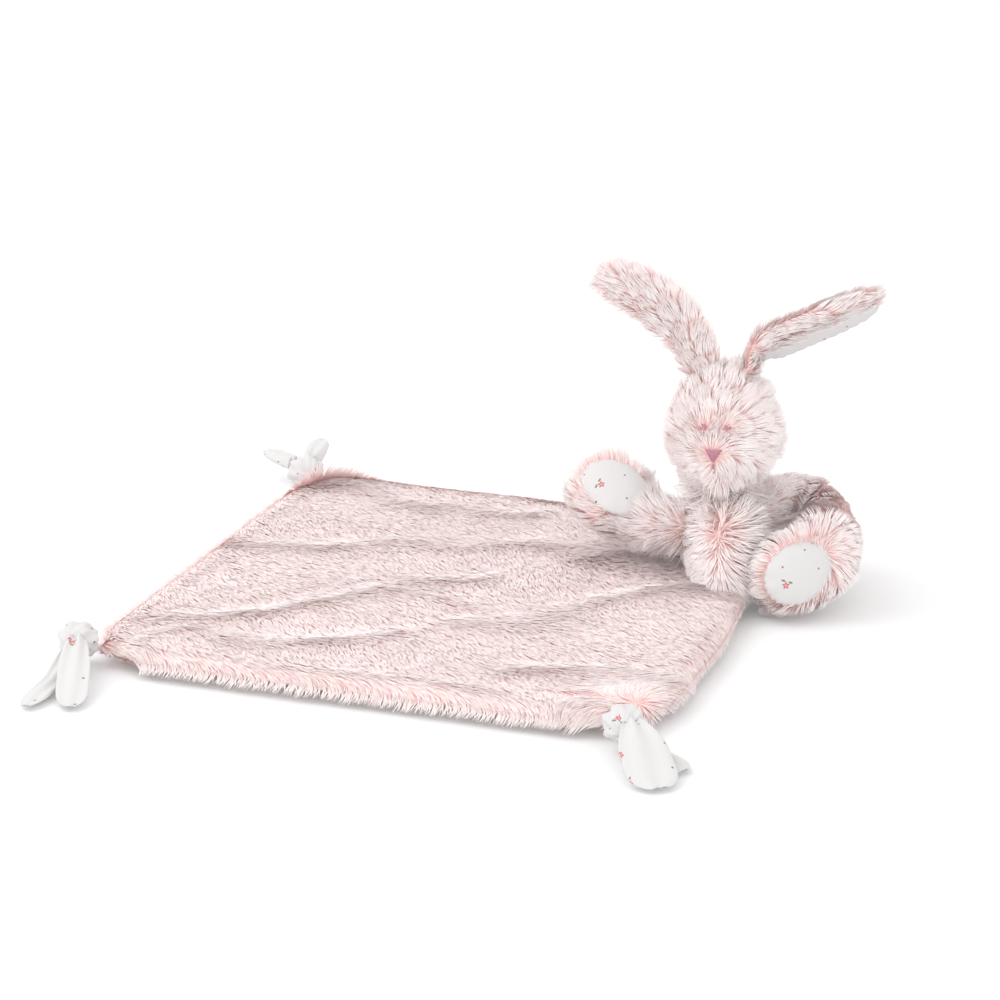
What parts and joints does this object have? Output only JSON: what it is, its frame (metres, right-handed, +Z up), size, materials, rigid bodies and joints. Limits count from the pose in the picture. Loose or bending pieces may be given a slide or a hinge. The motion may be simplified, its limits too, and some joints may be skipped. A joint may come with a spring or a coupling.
{
  "type": "comfort blanket",
  "caption": "Square plush comfort blanket with a rabbit's head, long ears and stuffed arms near one corner, and knotted cotton ties at the other corners.",
  "frame": {"origin": "under the middle of the blanket, on the surface it rests on", "axes": "+X runs right along the front edge, +Y runs back from the front edge to the back edge, +Z is up"},
  "size_m": [0.3855, 0.3928, 0.1802],
  "materials": {
    "plush": "long soft pile",
    "cotton": "plain woven, printed",
    "fibre": "loose matt filling",
    "thread": "satin stitch"
  },
  "bodies": {
    "blanket": {"blanket_top_panel": "plush", "blanket_back_panel": "plush", "chest_cover": "plush", "chest_stuffing": "fibre", "front_left_knot": "cotton", "front_right_knot": "cotton", "back_left_knot": "cotton"},
    "neck": {"neck": "plush"},
    "head": {"head_cover": "plush", "head_stuffing": "fibre", "left_eye": "thread", "right_eye": "thread", "nose": "thread", "mouth_stitch": "thread"},
    "left_ear": {"left_ear_back": "plush", "left_ear_lining": "cotton"},
    "right_ear": {"right_ear_back": "plush", "right_ear_lining": "cotton"},
    "left_arm": {"left_arm_cover": "plush", "left_arm_stuffing": "fibre", "left_paw_pad": "cotton"},
    "right_arm": {"right_arm_cover": "plush", "right_arm_stuffing": "fibre", "right_paw_pad": "cotton"},
    "front_left_upper_tie": {"front_left_upper_tie": "cotton"},
    "front_left_lower_tie": {"front_left_lower_tie": "cotton"},
    "front_right_upper_tie": {"front_right_upper_tie": "cotton"},
    "front_right_lower_tie": {"front_right_lower_tie": "cotton"},
    "back_left_upper_tie": {"back_left_upper_tie": "cotton"},
    "back_left_lower_tie": {"back_left_lower_tie": "cotton"}
  },
  "joints": [
    {"name": "neck_turn", "type": "hinge", "parent": "blanket", "child": "neck", "pos_m": [0.1208, 0.0725, 0.0526], "axis": [0, 0, 1], "range_deg": [-30, 30], "stiffness_Nm_per_rad": 0.3},
    {"name": "head_nod", "type": "hinge", "parent": "neck", "child": "head", "pos_m": [0.1208, 0.0725, 0.0526], "axis": [0.9903, 0.1392, 0], "range_deg": [-10, 10], "stiffness_Nm_per_rad": 0.5},
    {"name": "left_ear_flop", "type": "hinge", "parent": "head", "child": "left_ear", "pos_m": [0.10892, 0.07083, 0.12502], "axis": [-0.9012, -0.1266, -0.4146], "range_deg": [-18, 18], "stiffness_Nm_per_rad": 0.15},
    {"name": "right_ear_flop", "type": "hinge", "parent": "head", "child": "right_ear", "pos_m": [0.13268, 0.07417, 0.12502], "axis": [-0.1728, 0.984, -0.0444], "range_deg": [-30, 3], "stiffness_Nm_per_rad": 0.15},
    {"name": "left_arm_lift", "type": "hinge", "parent": "blanket", "child": "left_arm", "pos_m": [0.1016, 0.06198, 0.0376], "axis": [0, 1, 0], "range_deg": [0, 30]},
    {"name": "right_arm_lift", "type": "hinge", "parent": "blanket", "child": "right_arm", "pos_m": [0.13232, 0.09003, 0.0376], "axis": [0, -1, 0], "range_deg": [0, 38]},
    {"name": "front_left_upper_tie_lift", "type": "hinge", "parent": "blanket", "child": "front_left_upper_tie", "pos_m": [-0.14834, -0.15566, 0.0176], "axis": [-0.9272, -0.3746, 0], "range_deg": [0, 70]},
    {"name": "front_left_lower_tie_lift", "type": "hinge", "parent": "blanket", "child": "front_left_lower_tie", "pos_m": [-0.15168, -0.1566, 0.0104], "axis": [-0.9994, -0.0349, 0], "range_deg": [0, 10]},
    {"name": "front_right_upper_tie_lift", "type": "hinge", "parent": "blanket", "child": "front_right_upper_tie", "pos_m": [0.14694, -0.1661, 0.0176], "axis": [-0.809, -0.5878, 0], "range_deg": [0, 70]},
    {"name": "front_right_lower_tie_lift", "type": "hinge", "parent": "blanket", "child": "front_right_lower_tie", "pos_m": [0.14949, -0.16247, 0.0104], "axis": [-0.4695, -0.8829, 0], "range_deg": [0, 7]},
    {"name": "back_left_upper_tie_lift", "type": "hinge", "parent": "blanket", "child": "back_left_upper_tie", "pos_m": [-0.15643, 0.16491, 0.0129], "axis": [0.9994, 0.0349, 0], "range_deg": [0, 50], "stiffness_Nm_per_rad": 0.005},
    {"name": "back_left_lower_tie_lift", "type": "hinge", "parent": "blanket", "child": "back_left_lower_tie", "pos_m": [-0.1653, 0.1589, 0.0129], "axis": [0.342, 0.9397, 0], "range_deg": [0, 60], "stiffness_Nm_per_rad": 0.005}
  ]
}
